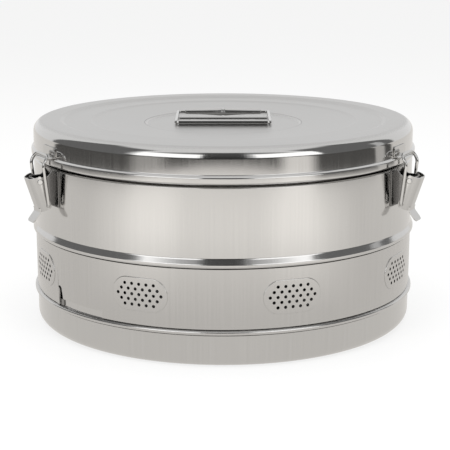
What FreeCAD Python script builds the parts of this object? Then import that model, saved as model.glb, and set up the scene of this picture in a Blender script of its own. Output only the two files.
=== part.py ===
import FreeCAD, Part
import math
import os

V = FreeCAD.Vector
os.makedirs("parts", exist_ok=True)

# Sizes in millimetres. The origin is the centre of the base, +Z is up, the front of the drum faces -Y.
# Angles round the drum are degrees from the front, growing towards +X.

# Drum wall
wall_radius = 187.0
wall_sheet = 1.0
shoulder_height = 164.4
shoulder_slope = 2.2
neck_inset = 2.4
neck_flange = 3.2
upper_rib_foot = 90.2
upper_rib_height = 9.3
upper_rib_low_slope = 1.8
upper_rib_high_slope = 4.3
lower_rib_foot = 29.6
lower_rib_height = 5.3
lower_rib_slope = 1.3
rib_stand_out = 2.5
weld_gap = 0.15
turned_facets = 3

# Bottom pan
pan_inset = 0.25
pan_sheet = 1.0
pan_corner_round = 9.4
pan_top_gap = 0.3
pan_lap = 17.0

# Sliding vent band
band_sheet = 1.0
band_run_gap = 0.3
band_edge_gap = 0.4
band_travel = 17.0
notch_start = -54.6
notch_height = 6.2
slit_width_low = 5.2
slit_width_high = 2.0
slit_height = 8.5
slit_hook_radius = 3.4
tongue_width = 9.0
tongue_lift = 1.2
band_lap_angle = 177.9
band_lap_width = 18.0
band_lap_sheet = 0.8
band_rivet_heights = (46.0, 79.0)

# Stop lug for the band
stop_width = 5.5
stop_end_gap = 0.3
stop_top_gap = 0.5
stop_face_inset = 0.2

# Fixing rivets of the band's lap and of the handle's bracket
fixing_shank = 1.5
fixing_head = 2.8
fixing_head_height = 0.9
fixing_play = 0.05
handle_rivet_pitch = 58.0

# Vent windows
window_count = 8
window_pitch = 42.7
window_centre = -2.1
window_height = 63.3
window_length = 54.8
window_width = 31.3
window_raise = 0.6
hole_radius = 1.5
hole_pitch = 7.07
row_pitch = 4.75
hole_rows = (5, 6, 7, 6, 5)
opening_side_margin = 0.5
opening_top_margin = 1.2
block_depth = 6.0

# Lid
lid_top = 197.2
lid_inset = 0.3
lid_sheet = 1.0
lid_corner_round = 10.2
lid_rest_gap = 0.9
lid_bead_stand_out = 2.4
lid_bead_height = 7.7
lid_bead_lip = 0.2
dish_radius = 76.0
dish_depth = 6.6
dish_step = 1.3
dish_slope_width = 1.0
middle_ring_radius = 130.5
middle_ring_step = 1.0
middle_slope_width = 2.0
outer_ring_radius = 160.0
outer_ring_step = 1.8
outer_slope_width = 3.0

# Lid seal, a flat silicone ring in the corner of the lid
seal_width = 4.6
seal_thickness = 3.6
seal_side_gap = 1.6
seal_seat_gap = 0.1
seal_rest_gap = 0.3

# Folding handle on the lid
hinge_offset = -13.5
curl_pitch = 23.5
curl_radius = 2.65
bracket_sheet = 0.8
bracket_length = 87.0
curl_tail = 0.7
hinge_clearance = 0.05
handle_reach = 61.0
handle_side_gap = 1.0
handle_corner_round = 2.5
grip_end_radius = 2.6
grip_mid_radius = 4.0
grip_length = 78.0
grip_ring_width = 1.2
grip_rest_gap = 0.3

# Latches. Radial places are from the drum's axis, heights from its base.
latch_angles = (-59.0, 61.0, 181.0)
pivot_stand_off = 14.9
pivot_height = 153.0
hook_stand_off = 8.0
hook_height = 130.0
crossbar_stand_off = 7.5
crossbar_height = 177.0
bail_bend_stand_off = 12.4
bail_bend_height = 169.0
wire_radius = 1.5
bail_corner_round = 6.0
bail_foot_round = 2.2
bail_bend_round = 8.0
bail_side_gap = 0.4
foot_engagement = 2.6
foot_play = 0.06

# Latch lever
lever_width = 23.0
lever_sheet = 1.0
lever_tilt = 18.2
lever_length = 33.0
lever_foot_stand_off = 13.6
lever_foot_height = 124.0
lever_crown_round = 8.0
lever_top_depth = 10.0
lever_waist_depth = 8.4
lever_waist_height = 13.0
lever_lug_radius = 3.5
tab_length = 12.0
tab_turn = 58.0
tab_width = 14.5
tab_bend_round = 3.5
tab_corner_cut = 3.0

# Latch pivot rivet
rivet_radius = 1.7
rivet_head_radius = 2.7
rivet_head_height = 0.9
rivet_play = 0.05

# Latch base
base_sheet = 1.2
base_foot_width = 36.0
base_low = 128.5
base_high = 163.5
ear_spacing = 17.0
ear_round = 3.6
ear_neck_reach = 9.0
ear_foot_reach = 5.0
ear_end_inset = 0.8

# Keeper on the lid
keeper_sheet = 1.2
keeper_plate_width = 26.0
keeper_plate_height = 10.0
keeper_ledge_width = 20.0
keeper_overhang = 1.3
keeper_nose_drop = 1.8
keeper_nose_round = 1.4
hook_clearance = 0.7


def flat(u, v):
    """Point of a profile: u outwards from the axis, v upwards."""
    return V(u, 0, v)


def space_path(points, radii, facets=0):
    """Straight runs through points in space. Each inner corner has an arc, or flat facets if they are asked for."""
    edges = []
    last = points[0]
    for before, corner, after, radius in zip(points, points[1:], points[2:], radii):
        into = (corner - before).normalize()
        out = (after - corner).normalize()
        turn = into.getAngle(out)
        back = radius * math.tan(turn / 2)
        start = corner - into * back
        if (start - last).Length > 1e-6:
            edges.append(Part.LineSegment(last, start).toShape())
        last = start
        if radius <= 0:
            continue
        centre = corner + (out - into).normalize() * (radius / math.cos(turn / 2))
        last = corner + out * back
        if facets == 0:
            middle = centre + (corner - centre).normalize() * radius
            edges.append(Part.Arc(start, middle, last).toShape())
            continue
        stops = [centre + (start - centre) * math.cos(turn * step / facets)
                 + into * (radius * math.sin(turn * step / facets)) for step in range(facets + 1)]
        edges += [Part.LineSegment(p, q).toShape() for p, q in zip(stops, stops[1:])]
        last = stops[-1]
    if (points[-1] - last).Length > 1e-6:
        edges.append(Part.LineSegment(last, points[-1]).toShape())
    return edges


def rounded_edges(points, radii, place=flat, facets=0):
    """Edges of a flat path with rounded corners."""
    return space_path([place(*point) for point in points], radii, facets)


def offset_path(points, sheet):
    """The same path moved to its left by the sheet's thickness, with mitred corners."""
    moved = []
    sides = []
    for (u0, v0), (u1, v1) in zip(points, points[1:]):
        length = math.hypot(u1 - u0, v1 - v0)
        sides.append((-(v1 - v0) / length, (u1 - u0) / length))
    for index, (u, v) in enumerate(points):
        first = sides[max(index - 1, 0)]
        second = sides[min(index, len(sides) - 1)]
        share = 1 + first[0] * second[0] + first[1] * second[1]
        moved.append((u + sheet * (first[0] + second[0]) / share, v + sheet * (first[1] + second[1]) / share))
    return moved


def sheet_face(points, radii, sheet, place=flat, facets=0):
    """Section of a bent sheet: the path, and the same path a thickness to its left."""
    inner_radii = []
    for (u0, v0), (u1, v1), (u2, v2), radius in zip(points, points[1:], points[2:], radii):
        left_turn = (u1 - u0) * (v2 - v1) - (v1 - v0) * (u2 - u1) > 0
        inner_radii.append(max(radius - sheet, 0) if left_turn else (radius + sheet if radius > 0 else 0))
    moved = offset_path(points, sheet)
    outer = rounded_edges(points, radii, place, facets)
    inner = rounded_edges(moved, inner_radii, place, facets)
    caps = [Part.LineSegment(place(*points[-1]), place(*moved[-1])).toShape(),
            Part.LineSegment(place(*points[0]), place(*moved[0])).toShape()]
    return Part.Face(Part.Wire(Part.__sortEdges__(outer + inner + caps)))


def closed_face(points, radii, place=flat):
    """Face with the given corners, each rounded by its radius."""
    first = points[0]
    second = points[1]
    start = ((first[0] + second[0]) / 2, (first[1] + second[1]) / 2)
    loop = [start] + list(points[1:]) + [first, start]
    return Part.Face(Part.Wire(Part.__sortEdges__(rounded_edges(loop, list(radii[1:]) + [radii[0]], place))))


def turned(face):
    """Solid made by turning a profile about the drum's axis."""
    return face.revolve(V(0, 0, 0), V(0, 0, 1), 360)


def polar(radius, angle, height):
    """Point at an angle from the front of the drum."""
    return V(radius * math.sin(math.radians(angle)), -radius * math.cos(math.radians(angle)), height)


def facing(shape, angle):
    """Turn a shape that was built facing +X, so that it faces an angle from the front."""
    placed = shape.copy()
    placed.rotate(V(0, 0, 0), V(0, 0, 1), angle - 90)
    return placed


def arc_degrees(length):
    """Angle that a length along the drum's wall takes up."""
    return math.degrees(length / wall_radius)


def wall_sector(inner, outer, start, end, low, high):
    """Piece of a cylindrical wall between two angles and two heights."""
    face = Part.Face(Part.Wire(Part.__sortEdges__([
        Part.LineSegment(V(inner, 0, low), V(outer, 0, low)).toShape(),
        Part.LineSegment(V(outer, 0, low), V(outer, 0, high)).toShape(),
        Part.LineSegment(V(outer, 0, high), V(inner, 0, high)).toShape(),
        Part.LineSegment(V(inner, 0, high), V(inner, 0, low)).toShape()])))
    sector = face.revolve(V(0, 0, 0), V(0, 0, 1), end - start)
    return facing(sector, start)


def write(name, shape):
    """Write one sub-part."""
    solid = shape.removeSplitter()
    solid.exportStep("parts/" + name + ".step")


band_inner = wall_radius - band_sheet
seat_radius = band_inner - band_run_gap
band_low = lower_rib_foot + lower_rib_height + band_edge_gap
band_high = upper_rib_foot - band_edge_gap
window_angles = [window_centre + (index - (window_count - 1) / 2) * window_pitch for index in range(window_count)]

opening_length = (max(hole_rows) - 1) * hole_pitch + 2 * hole_radius + 2 * opening_side_margin
opening_width = (len(hole_rows) - 1) * row_pitch + 2 * hole_radius + 2 * opening_top_margin

skirt_radius = wall_radius - lid_inset
neck_radius = wall_radius - neck_inset
seal_corner = skirt_radius - lid_corner_round
seal_outer = skirt_radius - lid_sheet - seal_side_gap
seal_reach = (lid_corner_round - lid_sheet) * math.cos(math.pi / 4 / turned_facets) - seal_seat_gap
seal_top = lid_top - lid_corner_round + math.sqrt(seal_reach ** 2 - (seal_outer - seal_corner) ** 2)
neck_top = seal_top - seal_thickness - seal_rest_gap
lid_low = shoulder_height + lid_rest_gap
dish_floor = lid_top - dish_depth
handle_rivet_places = [(side * handle_rivet_pitch / 2, hinge_offset + curl_pitch / 2) for side in (-1, 1)]


def drum_shell():
    """Wall of the drum: lower sleeve, rib, band seat, rib, wall, shoulder and a neck with an inward flange."""
    sleeve = wall_radius - pan_inset - pan_sheet - weld_gap
    rib = wall_radius + rib_stand_out
    lower_rib_top = lower_rib_foot + lower_rib_height
    upper_rib_top = upper_rib_foot + upper_rib_height
    path = [(sleeve, lower_rib_foot - pan_lap), (sleeve, lower_rib_foot), (rib, lower_rib_foot + lower_rib_slope),
            (rib, lower_rib_top - lower_rib_slope), (seat_radius, lower_rib_top), (seat_radius, upper_rib_foot),
            (rib, upper_rib_foot + upper_rib_low_slope), (rib, upper_rib_top - upper_rib_high_slope),
            (wall_radius, upper_rib_top), (wall_radius, shoulder_height - shoulder_slope),
            (neck_radius, shoulder_height), (neck_radius, neck_top), (neck_radius - neck_flange, neck_top)]
    shell = turned(sheet_face(path, [0] * (len(path) - 2), wall_sheet))
    half = arc_degrees(opening_length / 2)
    openings = [wall_sector(wall_radius - block_depth, wall_radius, angle - half, angle + half,
                            window_height - opening_width / 2, window_height + opening_width / 2)
                for angle in window_angles]
    return shell.cut(Part.makeCompound(openings))


def drum_base():
    """Pressed bottom pan with a round corner."""
    outer = wall_radius - pan_inset
    path = [(0, 0), (outer, 0), (outer, lower_rib_foot - pan_top_gap)]
    return turned(sheet_face(path, [pan_corner_round], pan_sheet, flat, turned_facets))


def vent_hole_cutters():
    """One cutter for every vent hole of every window. A square of the same area stands for the round hole."""
    half_side = hole_radius * math.sqrt(math.pi) / 2
    half_turn = arc_degrees(half_side)
    cutters = []
    for angle in window_angles:
        for row, holes in enumerate(hole_rows):
            height = window_height + ((len(hole_rows) - 1) / 2 - row) * row_pitch
            for index in range(holes):
                middle = angle + arc_degrees((index - (holes - 1) / 2) * hole_pitch)
                cutters.append(wall_sector(band_inner - 1, wall_radius + 1, middle - half_turn, middle + half_turn,
                                           height - half_side, height + half_side))
    return cutters


def window_pad(angle):
    """Raised field that carries the vent holes of one window. Four flat sides stand for each round end."""
    radius = window_width / 2
    straight = window_length / 2 - radius
    outline = [(side * (straight + radius * math.sin(math.pi * step / 4)), -side * radius * math.cos(math.pi * step / 4))
               for side in (1, -1) for step in range(5)]
    reach = arc_degrees(window_length)
    ring = wall_sector(band_inner + band_sheet / 2, wall_radius + window_raise, angle - reach, angle + reach,
                       window_height - window_width, window_height + window_width)
    block = on_wall([(along, window_height + up) for along, up in outline], [0] * len(outline), angle,
                    wall_radius - block_depth, wall_radius + block_depth)
    return ring.common(block)


def on_wall(points, radii, angle, inner, outer):
    """Cut a flat outline, given along and up the wall, out of the wall at an angle."""
    face = closed_face(points, radii, lambda along, up: V(inner, along, up))
    return facing(face.extrude(V(outer - inner, 0, 0)), angle)


def vent_band():
    """Perforated ring that turns round the drum, with its travel notch, slit, thumb tongue and lap joint."""
    ring = wall_sector(band_inner, wall_radius, 0, 360, band_low, band_high)
    notch_end = notch_start + arc_degrees(stop_width) + band_travel + 2 * arc_degrees(stop_end_gap)
    notch_top = band_low + notch_height
    tongue_start = notch_start - arc_degrees(tongue_width)
    notch = wall_sector(band_inner - 1, wall_radius + 1, notch_start, notch_end, band_low - 1, notch_top)
    bend = notch_top + slit_height
    hook = bend + slit_hook_radius
    slit = on_wall([(0, notch_top - 1), (slit_width_low, notch_top - 1), (slit_width_high, hook),
                    (-slit_hook_radius, hook), (-slit_hook_radius, hook - slit_width_high / 2), (0, bend)],
                   [0, 0, slit_hook_radius, 0, 0, slit_hook_radius / 2], notch_start,
                   wall_radius - block_depth, wall_radius + block_depth)
    tongue_room = wall_sector(band_inner - 1, wall_radius + 1, tongue_start, notch_start, band_low - 1, bend)
    half_lap = arc_degrees(band_lap_width / 2)
    lap = wall_sector(wall_radius - band_sheet / 2, wall_radius + band_lap_sheet, band_lap_angle - half_lap,
                      band_lap_angle + half_lap, band_low, band_high)
    body = ring.cut(Part.makeCompound([notch, slit, tongue_room]))
    body = body.fuse([thumb_tongue(tongue_start, bend), lap] + [window_pad(angle) for angle in window_angles])
    bores = [facing(Part.makeCylinder(fixing_shank + fixing_play, 2 * block_depth,
                                      V(wall_radius - block_depth, 0, height), V(1, 0, 0)), band_lap_angle)
             for height in band_rivet_heights]
    return body.cut(Part.makeCompound(vent_hole_cutters() + bores))


def fixing_rivet(grip, tail):
    """Rivet that points up: its head stands on z = 0 and its shank goes down through the grip."""
    head = Part.makeCylinder(fixing_head, fixing_head_height)
    shank = Part.makeCylinder(fixing_shank, grip + 0.3, V(0, 0, -grip))
    if not tail:
        return head.fuse(shank)
    closed = Part.makeCylinder(fixing_head, fixing_head_height, V(0, 0, -grip - fixing_head_height))
    return head.fuse([shank, closed])


def band_rivets():
    """Two rivets that hold the ends of the band together, flush on the inside."""
    rivets = []
    for height in band_rivet_heights:
        rivet = fixing_rivet(band_sheet + band_lap_sheet, False)
        rivet.rotate(V(0, 0, 0), V(0, 1, 0), 90)
        rivet.translate(V(wall_radius + band_lap_sheet, 0, height))
        rivets.append(facing(rivet, band_lap_angle))
    return Part.makeCompound(rivets)


def thumb_tongue(start, top):
    """Corner of the band beside the slit, bent away from the drum as a thumb tab."""
    outer = []
    inner = []
    for share in (0, 0.5, 1):
        angle = start + share * (notch_start - start)
        lift = tongue_lift * share * share
        outer.append(polar(wall_radius + lift, angle, band_low))
        inner.append(polar(band_inner + lift, angle, band_low))
    edges = [Part.Arc(*outer).toShape(), Part.Arc(*inner).toShape(),
             Part.LineSegment(outer[0], inner[0]).toShape(), Part.LineSegment(outer[2], inner[2]).toShape()]
    return Part.Face(Part.Wire(Part.__sortEdges__(edges))).extrude(V(0, 0, top - band_low))


def band_stop():
    """Lug on the drum that the band's notch comes to rest against at both ends of its travel."""
    start = notch_start + arc_degrees(stop_end_gap)
    return wall_sector(seat_radius + weld_gap, wall_radius - stop_face_inset, start,
                       start + arc_degrees(stop_width), band_low, band_low + notch_height - stop_top_gap)


def lid():
    """Pressed lid: dished middle, ring step, round corner, skirt and rolled bead."""
    bead = skirt_radius + lid_bead_stand_out
    bead_top = lid_low + lid_bead_height
    ring_height = lid_top - outer_ring_step
    path = [(skirt_radius + lid_bead_lip, lid_low), (bead, lid_low), (bead, bead_top - lid_bead_stand_out),
            (skirt_radius, bead_top), (skirt_radius, lid_top), (outer_ring_radius, lid_top),
            (outer_ring_radius - outer_slope_width, ring_height), (middle_ring_radius, ring_height),
            (middle_ring_radius - middle_slope_width, ring_height - middle_ring_step),
            (dish_radius + dish_slope_width, dish_floor + dish_step), (dish_radius, dish_floor), (0, dish_floor)]
    radii = [0, 0, 0, lid_corner_round, 0, 0, 0, 0, 0, 0]
    pressed = turned(sheet_face(path, radii, lid_sheet, flat, turned_facets))
    bores = [Part.makeCylinder(fixing_shank + fixing_play, 2 * block_depth, V(x, y, dish_floor - block_depth))
             for x, y in handle_rivet_places]
    return pressed.cut(Part.makeCompound(bores))


def lid_seal():
    """Flat ring that rests on the drum's neck when the lid is on."""
    low = seal_top - seal_thickness
    return wall_sector(seal_outer - seal_width, seal_outer, 0, 360, low, seal_top)


def handle_bracket():
    """Hinge plate of the handle: a strip with both long edges curled."""
    rear = hinge_offset + curl_pitch
    low = dish_floor
    high = dish_floor + 2 * curl_radius
    axis = dish_floor + curl_radius
    path = [(hinge_offset + curl_radius, axis - curl_tail), (hinge_offset + curl_radius, high),
            (hinge_offset - curl_radius, high), (hinge_offset - curl_radius, low),
            (rear + curl_radius, low), (rear + curl_radius, high), (rear - curl_radius, high),
            (rear - curl_radius, axis - curl_tail)]
    section = sheet_face(path, [curl_radius] * 6, bracket_sheet,
                         lambda along, up: V(-bracket_length / 2, along, up))
    bores = [Part.makeCylinder(fixing_shank + fixing_play, block_depth, V(x, y, dish_floor - 1))
             for x, y in handle_rivet_places]
    return section.extrude(V(bracket_length, 0, 0)).cut(Part.makeCompound(bores))


def handle_rivets():
    """Two rivets that hold the handle's bracket on the lid."""
    rivets = []
    for x, y in handle_rivet_places:
        rivet = fixing_rivet(bracket_sheet + lid_sheet, True)
        rivet.translate(V(x, y, dish_floor + bracket_sheet))
        rivets.append(rivet)
    return Part.makeCompound(rivets)


def handle_grip():
    """Drop handle: a closed wire loop whose front bar is the hinge pin, with a swelling grip at the back."""
    wire = curl_radius - bracket_sheet - hinge_clearance
    axis = dish_floor + curl_radius
    grip_height = dish_floor + grip_mid_radius + grip_rest_gap
    half = bracket_length / 2 + handle_side_gap + wire
    slope = math.atan2(grip_height - axis, handle_reach)
    length = math.hypot(handle_reach, grip_height - axis)
    corners = [(-half, 0), (half, 0), (half, length), (-half, length)]
    loop = closed_wire(corners, handle_corner_round)
    ring = bent_wire(loop, wire_section(wire, V(0, 0, 0), V(1, 0, 0), V(0, 1, 0)))
    profile = [(-grip_length / 2, wire * 0.9), (-grip_length / 2 + 1, grip_end_radius),
               (-grip_ring_width, grip_mid_radius), (-grip_ring_width / 2, grip_mid_radius - 0.4),
               (grip_ring_width / 2, grip_mid_radius - 0.4), (grip_ring_width, grip_mid_radius),
               (grip_length / 2 - 1, grip_end_radius), (grip_length / 2, wire * 0.9)]
    section = Part.makePolygon([V(profile[0][0], length, 0)] + [V(u, length + v, 0) for u, v in profile]
                               + [V(profile[-1][0], length, 0), V(profile[0][0], length, 0)])
    grip = Part.Face(section).revolve(V(0, length, 0), V(1, 0, 0), 360)
    handle = ring.fuse(grip)
    handle.rotate(V(0, 0, 0), V(1, 0, 0), math.degrees(slope))
    handle.translate(V(0, hinge_offset, axis))
    return handle


def closed_wire(corners, radius):
    """Closed loop in the XY plane with round corners, starting halfway along its first side."""
    first = corners[0]
    second = corners[1]
    start = ((first[0] + second[0]) / 2, (first[1] + second[1]) / 2)
    loop = [start] + corners[1:] + [first, start]
    return Part.Wire(Part.__sortEdges__(rounded_edges(loop, [radius] * 4, lambda x, y: V(x, y, 0), 2)))


def wire_section(radius, centre, along, across):
    """Eight-sided section of a bent wire, square to the way that it runs."""
    other = along.cross(across)
    corners = [centre + across * (radius * math.cos(math.pi * (step + 0.5) / 4))
               + other * (radius * math.sin(math.pi * (step + 0.5) / 4)) for step in range(9)]
    return Part.makePolygon(corners)


def bent_wire(path, section):
    """Solid wire that follows a path with mitred joints between its straight facets."""
    builder = Part.BRepOffsetAPI.MakePipeShell(path)
    builder.setTransitionMode(1)
    builder.add(section)
    builder.build()
    builder.makeSolid()
    return builder.shape()


pivot_radius = wall_radius + pivot_stand_off
hook_radius = wall_radius + hook_stand_off
crossbar_radius = wall_radius + crossbar_stand_off
lever_foot_radius = wall_radius + lever_foot_stand_off
bail_side = lever_width / 2 + rivet_head_height + bail_side_gap + wire_radius


def in_lever_frame(radius, height):
    """Place of a point in the lever's own upright frame, whose outer face is at x = 0."""
    tilt = math.radians(lever_tilt)
    out = radius - lever_foot_radius
    up = height - lever_foot_height
    return out * math.cos(tilt) - up * math.sin(tilt), out * math.sin(tilt) + up * math.cos(tilt)


def lever():
    """Arched channel lever with two pivot lugs, two lugs for the bail and a flared finger tab."""
    half = lever_width / 2
    deep = 4 * lever_lug_radius
    channel = sheet_face([(-deep, half), (0, half), (0, -half), (-deep, -half)],
                         [lever_crown_round, lever_crown_round], -lever_sheet,
                         lambda out, across: V(out, across, -lever_lug_radius), 2)
    channel = channel.extrude(V(0, 0, lever_length + lever_lug_radius))
    pivot_out, pivot_up = in_lever_frame(pivot_radius, pivot_height)
    hook_out, hook_up = in_lever_frame(hook_radius, hook_height)
    side_points = [(1, 0), (1, lever_length), (-lever_top_depth, lever_length),
                   (pivot_out - lever_lug_radius, pivot_up), (-lever_waist_depth, lever_waist_height),
                   (hook_out - lever_lug_radius, hook_up + lever_lug_radius),
                   (hook_out - lever_lug_radius, hook_up - lever_lug_radius),
                   (hook_out, hook_up - lever_lug_radius), (hook_out / 3, 0)]
    outline = closed_face(side_points, [0] * len(side_points), lambda out, up: V(out, -half - 1, up))
    body = channel.common(outline.extrude(V(0, lever_width + 2, 0)))
    turn = math.radians(tab_turn)
    tip = (tab_length * math.sin(turn), -tab_length * math.cos(turn))
    tab = sheet_face([(0, lever_lug_radius), (0, 0), tip], [tab_bend_round], -lever_sheet,
                     lambda out, up: V(out, -tab_width / 2, up), 2).extrude(V(0, tab_width, 0))
    corner_edges = [edge for edge in tab.Edges
                    if abs(edge.Length - lever_sheet) < 0.01 and edge.CenterOfMass.x > tip[0] * 0.8]
    tab = tab.makeChamfer(tab_corner_cut, corner_edges)
    body = body.fuse(tab)
    for out, up, radius in ((pivot_out, pivot_up, rivet_radius), (hook_out, hook_up, wire_radius + foot_play)):
        body = body.cut(Part.makeCylinder(radius, lever_width + 2, V(out, -half - 1, up), V(0, 1, 0)))
    body.rotate(V(0, 0, 0), V(0, 1, 0), lever_tilt)
    body.translate(V(lever_foot_radius, 0, lever_foot_height))
    return body


def lever_pin():
    """Pivot rivet through the lever's sides and the base's ears, with a flat head at each end."""
    half = lever_width / 2
    shank = Part.makeCylinder(rivet_radius, lever_width, V(pivot_radius, -half, pivot_height), V(0, 1, 0))
    heads = [Part.makeCylinder(rivet_head_radius, rivet_head_height, V(pivot_radius, side * half, pivot_height),
                               V(0, side, 0)) for side in (-1, 1)]
    return shank.fuse(heads)


def bail():
    """Wire bail: two feet hooked into the lever, two legs bent in near the top, and the crossbar."""
    foot = V(hook_radius, lever_width / 2 - foot_engagement, hook_height)
    knee = V(hook_radius, bail_side, hook_height)
    bend = V(wall_radius + bail_bend_stand_off, bail_side, bail_bend_height)
    corner = V(crossbar_radius, bail_side, crossbar_height)
    half = [foot, knee, bend, corner]
    points = half + [V(p.x, -p.y, p.z) for p in reversed(half)]
    radii = [bail_foot_round, bail_bend_round, bail_corner_round]
    wire = Part.Wire(space_path(points, radii + radii[::-1], 2))
    return bent_wire(wire, wire_section(wire_radius, foot, V(0, 1, 0), V(1, 0, 0)))


def latch_base():
    """Plate on the drum's wall with two ears that carry the lever's rivet."""
    half_angle = arc_degrees(base_foot_width / 2)
    plate = wall_sector(wall_radius + weld_gap, wall_radius + base_sheet, 90 - half_angle, 90 + half_angle,
                        base_low, base_high)
    root = wall_radius + base_sheet / 2
    reach = pivot_radius + ear_round
    top = pivot_height + ear_round
    outline = [(root, base_high - ear_end_inset), (pivot_radius - ear_neck_reach, top), (reach, top),
               (reach, pivot_height - ear_round / 3), (root + ear_foot_reach, base_low + ear_end_inset),
               (root, base_low + ear_end_inset)]
    ears = []
    for side in (-1, 1):
        outer_face = side * ear_spacing / 2
        face = closed_face(outline, [0, 0, ear_round, ear_round, 0, 0], lambda out, up: V(out, outer_face, up))
        ears.append(face.extrude(V(0, -side * base_sheet, 0)))
    base = plate.fuse(ears)
    bore = Part.makeCylinder(rivet_radius + rivet_play, ear_spacing + 2,
                             V(pivot_radius, -ear_spacing / 2 - 1, pivot_height), V(0, 1, 0))
    return base.cut(bore)


def keeper():
    """Keeper on the lid's skirt: a plate with a ledge under the bail's crossbar and a turned-down nose."""
    ledge_top = crossbar_height - wire_radius - hook_clearance
    half_angle = arc_degrees(keeper_plate_width / 2)
    plate = wall_sector(skirt_radius + weld_gap, skirt_radius + keeper_sheet, 90 - half_angle, 90 + half_angle,
                        ledge_top - keeper_sheet, ledge_top - keeper_sheet + keeper_plate_height)
    nose = crossbar_radius + keeper_overhang
    ledge = sheet_face([(skirt_radius + 0.5, ledge_top), (nose, ledge_top), (nose + 0.9, ledge_top - keeper_nose_drop)],
                       [keeper_nose_round], -keeper_sheet,
                       lambda out, up: V(out, -keeper_ledge_width / 2, up))
    return plate.fuse(ledge.extrude(V(0, keeper_ledge_width, 0)))


write("drum_shell", drum_shell())
write("drum_base", drum_base())
write("band_stop", band_stop())
write("vent_band", vent_band())
write("band_rivets", band_rivets())
write("lid", lid())
write("lid_seal", lid_seal())
write("handle_bracket", handle_bracket())
write("handle_rivets", handle_rivets())
write("handle_grip", handle_grip())
latch_pieces = {"latch_base": latch_base(), "lever": lever(), "lever_pin": lever_pin(), "bail": bail(),
                "keeper": keeper()}
for number, latch_angle in enumerate(latch_angles, 1):
    for piece_name, piece in latch_pieces.items():
        write(piece_name + "_" + str(number), facing(piece, latch_angle))
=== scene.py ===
import bpy
import bmesh
import math
from mathutils import Matrix, Vector


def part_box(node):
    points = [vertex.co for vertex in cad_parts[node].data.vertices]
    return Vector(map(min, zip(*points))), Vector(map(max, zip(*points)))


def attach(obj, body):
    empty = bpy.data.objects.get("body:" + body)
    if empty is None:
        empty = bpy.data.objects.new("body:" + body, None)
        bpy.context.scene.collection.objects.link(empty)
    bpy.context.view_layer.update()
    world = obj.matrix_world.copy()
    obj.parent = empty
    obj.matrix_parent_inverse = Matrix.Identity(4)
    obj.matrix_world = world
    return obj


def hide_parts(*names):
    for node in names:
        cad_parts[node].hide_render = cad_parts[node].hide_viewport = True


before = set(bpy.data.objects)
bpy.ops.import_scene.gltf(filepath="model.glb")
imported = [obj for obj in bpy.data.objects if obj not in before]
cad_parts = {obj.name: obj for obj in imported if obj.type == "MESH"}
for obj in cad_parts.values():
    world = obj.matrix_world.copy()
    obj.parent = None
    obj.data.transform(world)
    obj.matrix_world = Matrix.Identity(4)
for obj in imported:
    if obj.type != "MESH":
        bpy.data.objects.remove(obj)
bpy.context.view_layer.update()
mm = 0.001


# selecting and finishing

def deselectAll():
    bpy.ops.object.select_all(action="DESELECT")


def pick(piece):
    deselectAll()
    piece.select_set(True)
    bpy.context.view_layer.objects.active = piece


def editing(piece):
    pick(piece)
    bpy.ops.object.mode_set(mode="EDIT")


def leaving():
    bpy.ops.object.mode_set(mode="OBJECT")


def selectWhere(piece, kind, test):  # kind is verts, edges or faces, test says which of them
    modes = {"verts": "VERT", "edges": "EDGE", "faces": "FACE"}
    bpy.ops.mesh.select_mode(type=modes[kind])
    bpy.ops.mesh.select_all(action="DESELECT")
    shape = bmesh.from_edit_mesh(piece.data)
    for element in getattr(shape, kind):
        if test(element):
            element.select = True
    shape.select_flush_mode()
    bmesh.update_edit_mesh(piece.data)


def middleOf(element):
    return sum((vert.co for vert in element.verts), Vector()) / len(element.verts)


def applyAll(piece):
    pick(piece)
    for modifier in list(piece.modifiers):
        bpy.ops.object.modifier_apply(modifier=modifier.name)


def mergeDoubles(piece, distance=0.00001, outward=False):
    editing(piece)
    bpy.ops.mesh.select_all(action="SELECT")
    bpy.ops.mesh.remove_doubles(threshold=distance)
    if outward:
        bpy.ops.mesh.normals_make_consistent(inside=False)
    leaving()


def boolean(piece, tool, operation="DIFFERENCE"):
    cut = piece.modifiers.new("cut", "BOOLEAN")
    cut.operation = operation
    cut.solver = "EXACT"
    cut.object = tool
    applyAll(piece)
    bpy.data.objects.remove(tool)


def softEdges(piece, width, segments=2, angle=35):
    bevel = piece.modifiers.new("softEdges", "BEVEL")
    bevel.width = width
    bevel.segments = segments
    bevel.limit_method = "ANGLE"
    bevel.angle_limit = math.radians(angle)
    applyAll(piece)


def smooth(piece, angle):  # large faces keep their own normal, so that flat parts reflect flat
    pick(piece)
    bpy.ops.object.shade_smooth_by_angle(angle=math.radians(angle))
    weighted = piece.modifiers.new("weighted", "WEIGHTED_NORMAL")
    weighted.keep_sharp = True
    weighted.weight = 80
    applyAll(piece)


def joined(pieces, name):
    deselectAll()
    for piece in pieces:
        piece.select_set(True)
    bpy.context.view_layer.objects.active = pieces[0]
    if len(pieces) > 1:
        bpy.ops.object.join()
    pieces[0].name = name
    pieces[0].data.name = name
    return pieces[0]


def copied(piece, name, place=Matrix.Identity(4)):
    twin = piece.copy()
    twin.data = piece.data.copy()
    twin.name = name
    twin.data.name = name
    twin.data.transform(place)
    bpy.context.collection.objects.link(twin)
    return twin


def settled(piece):  # the object's own place goes into its mesh
    pick(piece)
    bpy.ops.object.transform_apply(location=True, rotation=True, scale=True)
    return piece


# drawing lines, sheets and wires

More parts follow.
